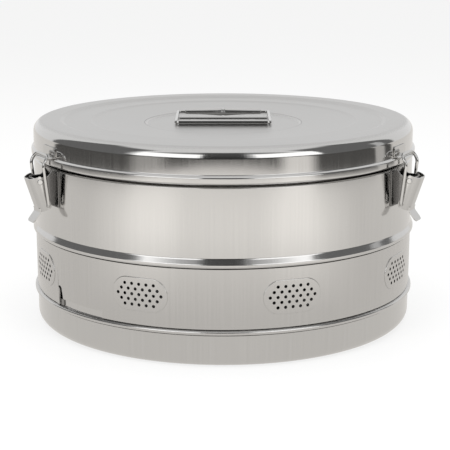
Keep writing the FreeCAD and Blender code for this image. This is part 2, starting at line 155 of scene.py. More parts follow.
def drawnPath(name, points, rounds, segments=5, closed=False):
    points = [Vector(point) for point in points]
    deselectAll()
    bpy.ops.mesh.primitive_plane_add(size=0.001, location=(0, 0, 0))
    piece = bpy.context.object
    piece.name = name
    bpy.ops.object.mode_set(mode="EDIT")
    bpy.ops.mesh.select_mode(type="VERT")
    bpy.ops.mesh.select_all(action="SELECT")
    bpy.ops.mesh.merge(type="CENTER")
    bpy.ops.transform.translate(value=points[0])
    for here, there in zip(points, points[1:]):
        bpy.ops.mesh.extrude_region_move(TRANSFORM_OT_translate={"value": there - here})
    ends = (points[0], points[-1])
    if closed:
        selectWhere(piece, "verts", lambda vert: min((vert.co - end).length for end in ends) < 1e-7)
        bpy.ops.mesh.edge_face_add()
    for index, radius in enumerate(rounds):
        if radius <= 0:
            continue
        corner = points[index]
        before = (corner - points[index - 1]).normalized()
        after = (points[(index + 1) % len(points)] - corner).normalized()
        offset = radius * math.tan(before.angle(after) / 2)
        selectWhere(piece, "verts", lambda vert: (vert.co - corner).length < 1e-7)
        bpy.ops.mesh.bevel(offset=offset, offset_type="OFFSET", segments=segments, profile=0.5,
                           affect="VERTICES")
    leaving()
    return piece


def pulled(piece, way):  # a line becomes a strip, a face becomes a block
    editing(piece)
    bpy.ops.mesh.select_all(action="SELECT")
    bpy.ops.mesh.extrude_region_move(TRANSFORM_OT_translate={"value": way})
    leaving()
    return piece


def block(name, points, rounds, way, segments=5):
    piece = drawnPath(name, points, rounds, segments, closed=True)
    editing(piece)
    bpy.ops.mesh.select_all(action="SELECT")
    bpy.ops.mesh.edge_face_add()
    leaving()
    pulled(piece, way)
    mergeDoubles(piece, outward=True)
    return piece


def thickened(piece, sheet, inside):  # the wall grows towards the point inside
    inside = Vector(inside)
    mergeDoubles(piece, outward=True)
    nearest = min(piece.data.polygons, key=lambda face: (face.center - inside).length)
    if nearest.normal.dot(inside - nearest.center) > 0:
        editing(piece)
        bpy.ops.mesh.select_all(action="SELECT")
        bpy.ops.mesh.flip_normals()
        leaving()
    wall = piece.modifiers.new("wall", "SOLIDIFY")
    wall.thickness = sheet
    wall.offset = -1
    wall.use_even_offset = True
    applyAll(piece)
    return piece


def spun(piece, steps=256, centre=(0, 0, 0), axis=(0, 0, 1)):
    editing(piece)
    bpy.ops.mesh.select_all(action="SELECT")
    bpy.ops.mesh.spin(steps=steps, angle=2 * math.pi, center=centre, axis=axis)
    leaving()
    mergeDoubles(piece, outward=True)
    return piece


def turnedSheet(name, profile, rounds, sheet, inside, segments=5):
    piece = drawnPath(name, [(r * mm, 0, z * mm) for r, z in profile], [r * mm for r in rounds], segments)
    spun(piece)
    thickened(piece, sheet * mm, inside)
    return piece


def wireAlong(name, points, rounds, radius, closed=False, segments=7):
    piece = drawnPath(name, points, rounds, segments, closed)
    pick(piece)
    bpy.ops.object.convert(target="CURVE")
    piece = bpy.context.object
    piece.data.dimensions = "3D"
    piece.data.bevel_depth = radius
    piece.data.bevel_resolution = 5
    piece.data.use_fill_caps = True
    bpy.ops.object.convert(target="MESH")
    piece = bpy.context.object
    mergeDoubles(piece, 0.000005, outward=True)
    return piece


def wrapRound(piece, radius):  # x runs round the drum, y goes inwards from that radius
    for vert in piece.data.vertices:
        angle = vert.co.x / radius
        reach = radius - vert.co.y
        vert.co = (reach * math.sin(angle), -reach * math.cos(angle), vert.co.z)


def curvedPlate(name, width, low, high, inner, outer):  # a plate that hugs the drum and faces +X
    deselectAll()
    bpy.ops.mesh.primitive_cube_add(size=1, location=(0, (inner - outer) / -2 * mm, (low + high) / 2 * mm),
                                    scale=(width * mm, (outer - inner) * mm, (high - low) * mm))
    piece = bpy.context.object
    piece.name = name
    settled(piece)
    editing(piece)
    selectWhere(piece, "edges", lambda edge: abs(edge.verts[0].co.z - edge.verts[1].co.z) < 1e-6
                and abs(edge.verts[0].co.x - edge.verts[1].co.x) < 1e-6)  # the four short edges
    bpy.ops.mesh.bevel(offset=1.5 * mm, segments=4, affect="EDGES")
    for step in range(-7, 8):
        bpy.ops.mesh.select_all(action="SELECT")
        bpy.ops.mesh.bisect(plane_co=(step * width / 16 * mm, 0, 0), plane_no=(1, 0, 0))
    leaving()
    wrapRound(piece, outer * mm)
    piece.data.transform(Matrix.Rotation(math.pi / 2, 4, "Z"))
    return piece


def rivetHead(name, radius, height, place, way):  # a low dome that faces the way
    deselectAll()
    bpy.ops.mesh.primitive_cylinder_add(vertices=32, radius=radius * mm, depth=height * mm,
                                        location=(0, 0, height / 2 * mm))
    piece = bpy.context.object
    settled(piece)
    editing(piece)
    selectWhere(piece, "edges", lambda edge: min(vert.co.z for vert in edge.verts) > height * 0.9 * mm)
    bpy.ops.mesh.bevel(offset=height * 0.82 * mm, segments=6, affect="EDGES")
    leaving()
    piece.data.transform(Vector((0, 0, 1)).rotation_difference(Vector(way)).to_matrix().to_4x4())
    piece.data.transform(Matrix.Translation(Vector(place) * mm))
    piece.name = name
    return piece


# shader maths

class Value:
    def __init__(self, tree, socket):
        self.tree = tree
        self.socket = socket

    def node(self, kind, settings=None, sockets=None, output=0):
        made = self.tree.nodes.new(kind)
        for key, setting in (settings or {}).items():
            setattr(made, key, setting)
        for key, entry in (sockets or {}).items():
            if isinstance(entry, Value):
                self.tree.links.new(entry.socket, made.inputs[key])
            else:
                made.inputs[key].default_value = entry
        return Value(self.tree, made.outputs[output])

    def maths(self, operation, first, second=0.0):
        return self.node("ShaderNodeMath", {"operation": operation}, {0: first, 1: second})

    def __add__(self, other):
        return self.maths("ADD", self, other)

    __radd__ = __add__

    def __sub__(self, other):
        return self.maths("SUBTRACT", self, other)

    def __rsub__(self, other):
        return self.maths("SUBTRACT", other, self)

    def __mul__(self, other):
        return self.maths("MULTIPLY", self, other)

    __rmul__ = __mul__

    def __truediv__(self, other):
        return self.maths("DIVIDE", self, other)

    def band(self, low, high):  # 0 below low, 1 above high, soft between
        return self.node("ShaderNodeMapRange", {"interpolation_type": "SMOOTHSTEP"},
                         {"Value": self, "From Min": low, "From Max": high})


def newFinish(name):
    material = bpy.data.materials.new(name)
    material.use_nodes = True
    tree = material.node_tree
    tree.nodes.clear()
    output = tree.nodes.new("ShaderNodeOutputMaterial")
    start = Value(tree, None)
    return material, start, output


def steel(name, look):
    material, start, output = newFinish(name)
    place = start.node("ShaderNodeTexCoord", output=3)
    parts = start.node("ShaderNodeSeparateXYZ", sockets={0: place}).socket.node
    x, y, z = [Value(start.tree, socket) for socket in parts.outputs]
    reach = start.maths("SQRT", x * x + y * y + 0.00001)
    around = start.node("ShaderNodeCombineXYZ", sockets={
        0: x / reach * look["streaks"], 1: y / reach * look["streaks"], 2: z * look["streakRun"]})
    streak = start.node("ShaderNodeTexNoise", {"noise_dimensions": "3D"},
                        {"Vector": around, "Scale": 1.0, "Detail": 3.0, "Roughness": 0.62})
    turning = start.node("ShaderNodeTexNoise", {"noise_dimensions": "1D"},
                         {"W": reach * look["rings"], "Scale": 1.0, "Detail": 4.0, "Roughness": 0.7})
    smudge = start.node("ShaderNodeTexNoise", {"noise_dimensions": "3D"},
                        {"Vector": place, "Scale": look["smudgeScale"], "Detail": 4.0, "Roughness": 0.55})
    grain = start.node("ShaderNodeTexNoise", {"noise_dimensions": "3D"},
                       {"Vector": place, "Scale": 2600.0, "Detail": 2.0})
    facing = start.node("ShaderNodeNewGeometry", output=1)
    upright = start.node("ShaderNodeSeparateXYZ", sockets={0: facing}, output=2)
    top = start.maths("ABSOLUTE", upright).band(0.75, 0.99)
    lines = streak * (1 - top) + turning * top
    # a thin dark ring on the top at the edge of the inner step: painted shade line
    ring = look["ringPlace"]
    ringShadeLine = reach.band(ring - 0.0005, ring) * (1 - reach.band(ring + 0.0005, ring + 0.001)) * top
    # upward faces are darkened here: painted shade on the lid's flat top
    tone = (1 + (lines - 0.5) * look["lineTone"] + (smudge - 0.5) * look["smudgeTone"]
            - ringShadeLine * look["ringMark"] - top * look["topTone"])
    colour = start.node("ShaderNodeVectorMath", {"operation": "SCALE"}, {0: look["colour"], "Scale": tone})
    rough = (look["rough"] + top * (look["topRough"] - look["rough"]) + (lines - 0.5) * look["lineRough"]
             + (smudge - 0.5) * look["smudgeRough"])
    relief = lines * look["lineRelief"] + grain * look["grainRelief"] + smudge * look["waveRelief"]
    bump = start.node("ShaderNodeBump", sockets={
        "Strength": look["bump"], "Distance": 0.0001, "Height": relief})
    shader = start.node("ShaderNodeBsdfPrincipled", sockets={
        "Base Color": colour, "Metallic": 1.0, "Roughness": rough, "Normal": bump})
    start.tree.links.new(shader.socket, output.inputs["Surface"])
    return material


def silicone(name, look):
    material, start, output = newFinish(name)
    place = start.node("ShaderNodeTexCoord", output=3)
    cloud = start.node("ShaderNodeTexNoise", sockets={"Vector": place, "Scale": 90.0, "Detail": 4.0})
    grain = start.node("ShaderNodeTexNoise", sockets={"Vector": place, "Scale": 1800.0, "Detail": 2.0})
    tone = 1 + (cloud - 0.5) * 0.12
    colour = start.node("ShaderNodeVectorMath", {"operation": "SCALE"}, {0: look["colour"], "Scale": tone})
    bump = start.node("ShaderNodeBump", sockets={"Strength": 0.25, "Distance": 0.0002, "Height": grain})
    shader = start.node("ShaderNodeBsdfPrincipled", sockets={
        "Base Color": colour, "Roughness": 0.42 + cloud * 0.12, "Subsurface Weight": 0.1,
        "Subsurface Scale": 0.003, "Normal": bump})
    start.tree.links.new(shader.socket, output.inputs["Surface"])
    return material


satinLook = {"colour": (0.60, 0.594, 0.585), "rough": 0.085, "topRough": 0.33, "streaks": 95.0,
             "streakRun": 5.0, "rings": 900.0, "smudgeScale": 9.0, "lineTone": 0.10, "smudgeTone": 0.06,
             "lineRough": 0.08, "smudgeRough": 0.10, "lineRelief": 0.25, "grainRelief": 0.05,
             "waveRelief": 0.6, "bump": 0.5, "ringMark": 0.0, "ringPlace": 0.0775, "topTone": 0.0}
satinSteel = steel("satinSteel", {**satinLook, "ringMark": 0.35, "topTone": 0.14})  # painted shade line along the edge of the lid's inner step, and painted shade on the lid's flat top
wallSteel = steel("wallSteel", {**satinLook, "rough": 0.12, "lineTone": 0.12, "lineRelief": 0.35})
bandSteel = steel("bandSteel", {**satinLook, "colour": (0.575, 0.568, 0.558), "rough": 0.17,
                                "streaks": 140.0, "lineTone": 0.12})
brightLook = {**satinLook, "colour": (0.57, 0.565, 0.556), "rough": 0.09, "topRough": 0.14,
              "streaks": 300.0, "lineTone": 0.05, "lineRough": 0.04, "smudgeScale": 60.0,
              "smudgeTone": 0.10, "smudgeRough": 0.08, "waveRelief": 0.3}
brightSteel = steel("brightSteel", brightLook)
# darker copy of the bright steel: painted shade for parts that sit in shade, the latch bases and the band
# stop
shadedSteel = steel("shadedSteel", {**brightLook, "colour": (0.30, 0.295, 0.29), "rough": 0.2, "smudgeTone": 0.3})
paleSilicone = silicone("paleSilicone", {"colour": (0.80, 0.79, 0.75)})
print("finishes are ready")


def finished(piece, material, body, nodes):
    piece.data.materials.clear()
    piece.data.materials.append(material)
    for face in piece.data.polygons:
        face.material_index = 0
    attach(piece, body)
    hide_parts(*nodes)
    return piece


# drum

drum = {"wallRadius": 187.0, "sheet": 1.0, "panInset": 0.25, "panCorner": 9.4, "seat": 185.7, "sleeve": 185.6,
        "rib": 189.5, "low": 12.6, "lowerRib": (29.6, 30.7, 33.7, 34.9), "upperRib": (90.2, 91.6, 94.6, 99.3),
        "wallTop": 161.9, "shoulder": 164.4, "neck": 184.6, "neckFlange": 3.2,
        "neckTop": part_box("drum_shell")[1][2] / mm, "panTop": 29.3}

drumProfile = [(drum["sleeve"], drum["low"]), (drum["sleeve"], drum["lowerRib"][0]),
               (drum["rib"], drum["lowerRib"][1]), (drum["rib"], drum["lowerRib"][2]),
               (drum["seat"], drum["lowerRib"][3]), (drum["seat"], drum["upperRib"][0]),
               (drum["rib"], drum["upperRib"][1]), (drum["rib"], drum["upperRib"][2]),
               (drum["wallRadius"], drum["upperRib"][3]), (drum["wallRadius"], drum["wallTop"]),
               (drum["neck"], drum["shoulder"]), (drum["neck"], drum["neckTop"]),
               (drum["neck"] - drum["neckFlange"], drum["neckTop"])]
shell = turnedSheet("drumShell", drumProfile, [0, 0.5, 1.4, 1.4, 0.5, 0.5, 1.6, 1.8, 3.0, 0.5, 0.6, 0.8, 0],
                    drum["sheet"], (0.15, 0, 0.13))

windows = {"count": 8, "pitch": 42.7, "centre": -2.1, "height": 63.3, "length": 54.8, "width": 31.3,
           "raise": 0.6, "holeRadius": 1.5, "holePitch": 7.07, "rowPitch": 4.75, "rows": (5, 6, 7, 6, 5),
           "openingLength": 46.4, "openingWidth": 24.4}
windowAngles = [windows["centre"] + (index - (windows["count"] - 1) / 2) * windows["pitch"]
                for index in range(windows["count"])]


def obround(name, length, width, front, back, vertices=48):  # lies along x, y runs from front to back
    deselectAll()
    bpy.ops.mesh.primitive_cylinder_add(vertices=vertices, radius=width / 2 * mm, depth=(back - front) * mm,
                                        location=(0, (front + back) / 2 * mm, 0),
                                        rotation=(math.pi / 2, 0, 0))
    piece = settled(bpy.context.object)
    piece.name = name
    editing(piece)
    for side in (-1, 1):
        selectWhere(piece, "verts", lambda vert: vert.co.x * side > 1e-6)
        bpy.ops.transform.translate(value=(side * (length - width) / 2 * mm, 0, 0))
    leaving()
    return piece


opening = obround("wallOpening", windows["openingLength"], windows["openingWidth"], -8.0, 8.0, 24)
opening.data.transform(Matrix.Translation((0, -drum["seat"] * mm, windows["height"] * mm)))
openings = [copied(opening, "opening", Matrix.Rotation(math.radians(angle), 4, "Z"))
            for angle in windowAngles]
bpy.data.objects.remove(opening)
boolean(shell, joined(openings, "openings"))
smooth(shell, 30)
finished(shell, wallSteel, "drum", ["drum_shell"])

panRadius = drum["wallRadius"] - drum["panInset"]
pan = turnedSheet("drumBase", [(0, 0), (panRadius, 0), (panRadius, drum["panTop"])],
                  [0, drum["panCorner"], 0], drum["sheet"], (0.1, 0, 0.02), 12)
smooth(pan, 30)
finished(pan, wallSteel, "drum", ["drum_base"])
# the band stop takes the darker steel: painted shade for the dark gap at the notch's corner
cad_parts["band_stop"].data.materials.clear()
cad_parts["band_stop"].data.materials.append(shadedSteel)
print("drum is done")


# vent band, made flat and wrapped round the drum

band = {"radius": 187.0, "sheet": 1.0, "low": 35.3, "high": 89.8, "strip": 3.535, "notchStart": -54.6,
        "notchTurn": 18.87, "notchTop": 41.5, "slitLow": 5.2, "slitHigh": 2.0, "slitBend": 50.0,
        "slitHook": 53.4, "slitEnd": -3.4, "tongueWidth": 9.0, "tongueLift": 1.2, "tongueBend": 7.0,
        "lapAngle": 177.9, "lapWidth": 18.0, "lapSheet": 0.8, "rivetHeights": (46.0, 79.0)}


def along(angle):
    return math.radians(angle) * band["radius"]


def flatPlate(name, width, front, back, low, high):
    deselectAll()
    bpy.ops.mesh.primitive_cube_add(size=1, location=(0, (front + back) / 2 * mm, (low + high) / 2 * mm),
                                    scale=(width * mm, (back - front) * mm, (high - low) * mm))
    piece = settled(bpy.context.object)
    piece.name = name
    return piece


def stripped(piece, width):  # narrow upright strips, so that the plate can bend
    editing(piece)
    count = round(width / band["strip"])
    for step in range(1, count):
        bpy.ops.mesh.select_all(action="SELECT")
        bpy.ops.mesh.bisect(plane_co=((step / count - 0.5) * width * mm, 0, 0), plane_no=(1, 0, 0))
    leaving()


def openEnds(piece, places):
    editing(piece)
    selectWhere(piece, "faces", lambda face: abs(face.normal.x) > 0.99
                and min(abs(middleOf(face).x - place * mm) for place in places) < 1e-5)
    bpy.ops.mesh.delete(type="FACE")
    leaving()


tileWidth = along(windows["pitch"])
tile = flatPlate("tile", tileWidth, 0, band["sheet"], band["low"], band["high"])
pad = obround("pad", windows["length"], windows["width"], -windows["raise"], band["sheet"] * 0.6)
editing(pad)
selectWhere(pad, "edges", lambda edge: max(vert.co.y for vert in edge.verts) < -windows["raise"] * 0.9 * mm)
bpy.ops.mesh.bevel(offset=0.58 * mm, segments=4, affect="EDGES")
leaving()
pad.data.transform(Matrix.Translation((0, 0, windows["height"] * mm)))
boolean(tile, pad, "UNION")

deselectAll()
bpy.ops.mesh.primitive_cylinder_add(vertices=20, radius=windows["holeRadius"] * mm, depth=0.01,
                                    location=(0, 0, 0), rotation=(math.pi / 2, 0, 0))
drill = settled(bpy.context.object)
drills = []
for row, holes in enumerate(windows["rows"]):
    height = windows["height"] + ((len(windows["rows"]) - 1) / 2 - row) * windows["rowPitch"]
    for index in range(holes):
        place = ((index - (holes - 1) / 2) * windows["holePitch"] * mm, 0, height * mm)
        drills.append(copied(drill, "drill", Matrix.Translation(place)))
bpy.data.objects.remove(drill)
boolean(tile, joined(drills, "drills"))
stripped(tile, tileWidth)
openEnds(tile, (-tileWidth / 2, tileWidth / 2))

backWidth = along(360 - windows["count"] * windows["pitch"])
backTile = flatPlate("backTile", backWidth, 0, band["sheet"], band["low"], band["high"])
stripped(backTile, backWidth)
openEnds(backTile, (-backWidth / 2, backWidth / 2))
tiles = [copied(tile, "tile", Matrix.Translation((along(angle) * mm, 0, 0))) for angle in windowAngles]
tiles.append(copied(backTile, "tile", Matrix.Translation((along(band["lapAngle"]) * mm, 0, 0))))
bpy.data.objects.remove(tile)
bpy.data.objects.remove(backTile)
ventBand = joined(tiles, "ventBand")
mergeDoubles(ventBand)
editing(ventBand)
bpy.ops.mesh.select_all(action="SELECT")
bpy.ops.mesh.fill_holes(sides=0)
leaving()

notchX = along(band["notchStart"])
notch = flatPlate("notch", along(band["notchTurn"]), -2, 3, band["low"] - 5, band["notchTop"])
notch.data.transform(Matrix.Translation(((notchX + along(band["notchTurn"]) / 2) * mm, 0, 0)))
boolean(ventBand, notch)
slitPoints = [(0, band["notchTop"] - 1), (band["slitLow"], band["notchTop"] - 1),
              (band["slitHigh"], band["slitHook"]), (band["slitEnd"], band["slitHook"]),
              (band["slitEnd"], band["slitHook"] - 1.0), (0, band["slitBend"])]
slit = block("slit", [((notchX + u) * mm, -2 * mm, v * mm) for u, v in slitPoints],
             [0, 0, 3.0 * mm, 0.2 * mm, 0.2 * mm, 1.6 * mm], (0, 5 * mm, 0))
boolean(ventBand, slit)

lap = flatPlate("lap", band["lapWidth"], -band["lapSheet"], 0.3, band["low"] + 0.2, band["high"] - 0.2)
editing(lap)
selectWhere(lap, "edges", lambda edge: max(vert.co.y for vert in edge.verts) < -band["lapSheet"] * 0.9 * mm)
bpy.ops.mesh.bevel(offset=0.3 * mm, segments=3, affect="EDGES")
leaving()
stripped(lap, band["lapWidth"])
lap.data.transform(Matrix.Translation((along(band["lapAngle"]) * mm, 0, 0)))
openEnds(ventBand, (along(windowAngles[0] - windows["pitch"] / 2), along(band["lapAngle"]) + backWidth / 2))
ventBand = joined([ventBand, lap], "ventBand")
for vert in ventBand.data.vertices:  # the thumb tongue beside the slit is bent out
    share = (vert.co.x / mm - notchX + band["tongueWidth"]) / band["tongueWidth"]
    if 0 < share <= 1.001 and vert.co.z < band["slitHook"] * mm:
        drop = min(max((band["slitHook"] * mm - vert.co.z) / (band["tongueBend"] * mm), 0), 1)
        vert.co.y -= band["tongueLift"] * mm * share * share * drop
wrapRound(ventBand, band["radius"] * mm)
mergeDoubles(ventBand, 0.000004)
smooth(ventBand, 28)
finished(ventBand, bandSteel, "band", ["vent_band"])

lapWay = Vector((math.sin(math.radians(band["lapAngle"])), -math.cos(math.radians(band["lapAngle"])), 0))
lapFace = lapWay * (band["radius"] + band["lapSheet"])
bandRivets = joined([rivetHead("bandRivet", 2.8, 0.9, (lapFace.x, lapFace.y, height), lapWay)
                     for height in band["rivetHeights"]], "bandRivets")
smooth(bandRivets, 50)
finished(bandRivets, brightSteel, "band", ["band_rivets"])
print("vent band is done")


# lid

lidSizes = {"skirt": 186.7, "bead": 189.1, "lip": 186.9, "low": 165.3, "beadTop": (171.4, 173.2),
            "top": 197.2, "corner": 10.2, "outerRing": (161.0, 156.0), "step": 195.4,
            "dish": (131.5, 127.5), "dishTop": 194.4, "innerRing": (77.6, 74.8), "innerTop": 191.9,
            "floor": 190.6, "sheet": 1.0}
lidProfile = [(lidSizes["lip"], lidSizes["low"]), (lidSizes["bead"], lidSizes["low"]),
              (lidSizes["bead"], lidSizes["beadTop"][0]), (lidSizes["skirt"], lidSizes["beadTop"][1]),
              (lidSizes["skirt"], lidSizes["top"]), (lidSizes["outerRing"][0], lidSizes["top"]),
              (lidSizes["outerRing"][1], lidSizes["step"]), (lidSizes["dish"][0], lidSizes["step"]),
              (lidSizes["dish"][1], lidSizes["dishTop"]), (lidSizes["innerRing"][0], lidSizes["innerTop"]),
              (lidSizes["innerRing"][1], lidSizes["floor"]), (0, lidSizes["floor"])]
lid = turnedSheet("lid", lidProfile, [0, 1.8, 1.6, 0.8, lidSizes["corner"], 6, 6, 6, 6, 1.2, 1.2, 0],
                  lidSizes["sheet"], (0.10, 0, 0.185), 12)
smooth(lid, 30)
finished(lid, satinSteel, "lid", ["lid"])

sealSizes = {"inner": 179.5, "outer": 184.1, "low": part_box("lid_seal")[0][2] / mm,
             "top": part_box("lid_seal")[1][2] / mm, "corner": 0.9}
sealOutline = [(sealSizes["inner"], sealSizes["low"]), (sealSizes["outer"], sealSizes["low"]),
               (sealSizes["outer"], sealSizes["top"]), (sealSizes["inner"], sealSizes["top"])]
seal = drawnPath("lidSeal", [(r * mm, 0, z * mm) for r, z in sealOutline], [sealSizes["corner"] * mm] * 4, 4,
                 closed=True)
spun(seal, 192)
smooth(seal, 40)
finished(seal, paleSilicone, "lid", ["lid_seal"])
print("lid is done")


# folding handle

handle = {"hinge": -13.5, "pitch": 23.5, "curl": 2.65, "sheet": 0.8, "length": 87.0, "tail": 0.7,
          "floor": lidSizes["floor"], "reach": 61.0, "sideGap": 1.0, "corner": 3.0, "gripMiddle": 4.0,
          "gripLength": 78.0, "rest": 0.3, "rivetPitch": 58.0}
axisHeight = handle["floor"] + handle["curl"]
rear = handle["hinge"] + handle["pitch"]
curl = handle["curl"]
bracketPath = [(handle["hinge"] + curl, axisHeight - handle["tail"]),
               (handle["hinge"] + curl, axisHeight + curl), (handle["hinge"] - curl, axisHeight + curl),
               (handle["hinge"] - curl, handle["floor"]), (rear + curl, handle["floor"]),
               (rear + curl, axisHeight + curl), (rear - curl, axisHeight + curl),
               (rear - curl, axisHeight - handle["tail"])]
bracket = drawnPath("handleBracket", [(-handle["length"] / 2 * mm, y * mm, z * mm) for y, z in bracketPath],
                    [0] + [2.62 * mm] * 6 + [0], 8)
pulled(bracket, (handle["length"] * mm, 0, 0))
thickened(bracket, handle["sheet"] * mm, (0, (handle["hinge"] + handle["pitch"] / 2) * mm, 0.2))
softEdges(bracket, 0.15 * mm, 2, 50)
smooth(bracket, 35)
finished(bracket, brightSteel, "lid", ["handle_bracket"])

rivetY = handle["hinge"] + handle["pitch"] / 2
handleRivets = joined([rivetHead("handleRivet", 2.8, 0.9, (side * handle["rivetPitch"] / 2, rivetY, height),
                                 (0, 0, way))
                       for side in (-1, 1)
                       for height, way in ((handle["floor"] + handle["sheet"], 1),
                                           (handle["floor"] - lidSizes["sheet"], -1))], "handleRivets")
smooth(handleRivets, 50)
finished(handleRivets, brightSteel, "lid", ["handle_rivets"])

wireRadius = handle["curl"] - handle["sheet"] - 0.05
gripHeight = handle["floor"] + handle["gripMiddle"] + handle["rest"]
halfLoop = handle["length"] / 2 + handle["sideGap"] + wireRadius
slope = math.atan2(gripHeight - axisHeight, handle["reach"])
loopReach = math.hypot(handle["reach"], gripHeight - axisHeight)
loopCorners = [(-halfLoop, 0), (halfLoop, 0), (halfLoop, loopReach), (-halfLoop, loopReach)]
loop = wireAlong("handleLoop", [(x * mm, y * mm, 0) for x, y in loopCorners], [handle["corner"] * mm] * 4,
                 wireRadius * mm, closed=True)
gripHalf = handle["gripLength"] / 2
gripPoints = [(-gripHalf, 1.7), (-gripHalf + 0.6, 2.5), (-24.0, 2.75), (-10.0, 3.4), (-1.6, 4.0), (-0.7, 3.5),
              (0.7, 3.5), (1.6, 4.0), (10.0, 3.4), (24.0, 2.75), (gripHalf - 0.6, 2.5), (gripHalf, 1.7)]
grip = drawnPath("grip", [(x * mm, (loopReach + r) * mm, 0) for x, r in gripPoints],
                 [0, 0.3 * mm, 30 * mm, 40 * mm, 0.5 * mm, 0.25 * mm, 0.25 * mm, 0.5 * mm, 40 * mm, 30 * mm,
                  0.3 * mm, 0], 4)
spun(grip, 40, (0, loopReach * mm, 0), (1, 0, 0))
editing(grip)
bpy.ops.mesh.select_all(action="SELECT")
bpy.ops.mesh.fill_holes(sides=0)
bpy.ops.mesh.normals_make_consistent(inside=False)
leaving()
handleGrip = joined([loop, grip], "handleGrip")
handleGrip.data.transform(Matrix.Translation((0, handle["hinge"] * mm, axisHeight * mm))
                          @ Matrix.Rotation(slope, 4, "X"))
smooth(handleGrip, 40)
finished(handleGrip, brightSteel, "handle", ["handle_grip"])
print("handle is done")


# latches, modelled once facing +X and copied to their three places

latch = {"angles": (-59.0, 61.0, 181.0), "pivot": (201.9, 153.0), "hook": (195.0, 130.0),
         "crossbar": (194.5, 177.0), "bend": (199.4, 169.0), "wire": 1.5, "width": 23.0, "sheet": 1.0,
         "tilt": 18.2, "length": 33.0, "foot": (200.6, 124.0), "crown": 8.0, "lug": 3.5,
         "tabLength": 12.0, "tabTurn": 58.0, "tabWidth": 14.5}


def inLeverFrame(place):
    tilt = math.radians(latch["tilt"])
    out = place[0] - latch["foot"][0]
    up = place[1] - latch["foot"][1]
    return out * math.cos(tilt) - up * math.sin(tilt), out * math.sin(tilt) + up * math.cos(tilt)


half = latch["width"] / 2
lug = latch["lug"]
channel = drawnPath("lever", [(out * mm, side * half * mm, -lug * mm)
                              for out, side in ((-14, 1), (0, 1), (0, -1), (-14, -1))],
                    [0, latch["crown"] * mm, latch["crown"] * mm, 0], 10)
pulled(channel, (0, 0, (latch["length"] + lug) * mm))
thickened(channel, latch["sheet"] * mm, (-0.008, 0, 0.015))
pivotOut, pivotUp = inLeverFrame(latch["pivot"])
hookOut, hookUp = inLeverFrame(latch["hook"])
sideOutline = [(1, 0), (1, latch["length"]), (-10.0, latch["length"]), (pivotOut - lug, pivotUp),
               (-8.4, 13.0), (hookOut - lug, hookUp + lug), (hookOut - lug, hookUp - lug),
               (hookOut, hookUp - lug), (hookOut / 3, 0)]
sideCut = block("sideCut", [(out * mm, -(half + 1) * mm, up * mm) for out, up in sideOutline],
                [0, 0, 1.5 * mm, 3 * mm, 4 * mm, 2.4 * mm, 2.4 * mm, 2 * mm, 2 * mm],
                (0, (latch["width"] + 2) * mm, 0))
boolean(channel, sideCut, "INTERSECT")
turn = math.radians(latch["tabTurn"])
tip = (latch["tabLength"] * math.sin(turn), -latch["tabLength"] * math.cos(turn))
tab = drawnPath("tab", [(0, -latch["tabWidth"] / 2 * mm, lug * mm), (0, -latch["tabWidth"] / 2 * mm, 0),
                        (tip[0] * mm, -latch["tabWidth"] / 2 * mm, tip[1] * mm)], [0, 3.5 * mm, 0], 8)
pulled(tab, (0, latch["tabWidth"] * mm, 0))
thickened(tab, latch["sheet"] * mm, (-0.004, 0, -0.004))
editing(tab)
selectWhere(tab, "edges", lambda edge: min(vert.co.x for vert in edge.verts) > tip[0] * 0.85 * mm
            and abs(edge.verts[0].co.y - edge.verts[1].co.y) < 1e-6
            and abs((edge.verts[0].co - edge.verts[1].co).length - latch["sheet"] * mm) < 1e-4)
bpy.ops.mesh.bevel(offset=3.6 * mm, segments=8, affect="EDGES")
leaving()
boolean(channel, tab, "UNION")
deselectAll()
bpy.ops.mesh.primitive_cylinder_add(vertices=24, radius=(latch["wire"] + 0.06) * mm, depth=0.03,
                                    location=(hookOut * mm, 0, hookUp * mm), rotation=(math.pi / 2, 0, 0))
boolean(channel, settled(bpy.context.object))
softEdges(channel, 0.18 * mm, 2, 40)
channel.data.transform(Matrix.Translation((latch["foot"][0] * mm, 0, latch["foot"][1] * mm))
                       @ Matrix.Rotation(math.radians(latch["tilt"]), 4, "Y"))
smooth(channel, 35)

deselectAll()
bpy.ops.mesh.primitive_cylinder_add(vertices=32, radius=1.7 * mm, depth=latch["width"] * mm,
                                    location=(latch["pivot"][0] * mm, 0, latch["pivot"][1] * mm),
                                    rotation=(math.pi / 2, 0, 0))
pinShank = settled(bpy.context.object)
pinHeads = [rivetHead("pinHead", 2.7, 0.9, (latch["pivot"][0], side * half, latch["pivot"][1]), (0, side, 0))
            for side in (-1, 1)]
leverPin = joined([pinShank] + pinHeads, "leverPin")
smooth(leverPin, 50)

bailSide = half + 0.9 + 0.4 + latch["wire"]
halfBail = [(latch["hook"][0], half - 2.6, latch["hook"][1]), (latch["hook"][0], bailSide, latch["hook"][1]),
            (latch["bend"][0], bailSide, latch["bend"][1]),
            (latch["crossbar"][0], bailSide, latch["crossbar"][1])]
bailPoints = halfBail + [(x, -y, z) for x, y, z in reversed(halfBail)]
bail = wireAlong("bail", [Vector(point) * mm for point in bailPoints],
                 [0, 2.2 * mm, 8 * mm, 6 * mm, 6 * mm, 8 * mm, 2.2 * mm, 0], latch["wire"] * mm)
smooth(bail, 40)

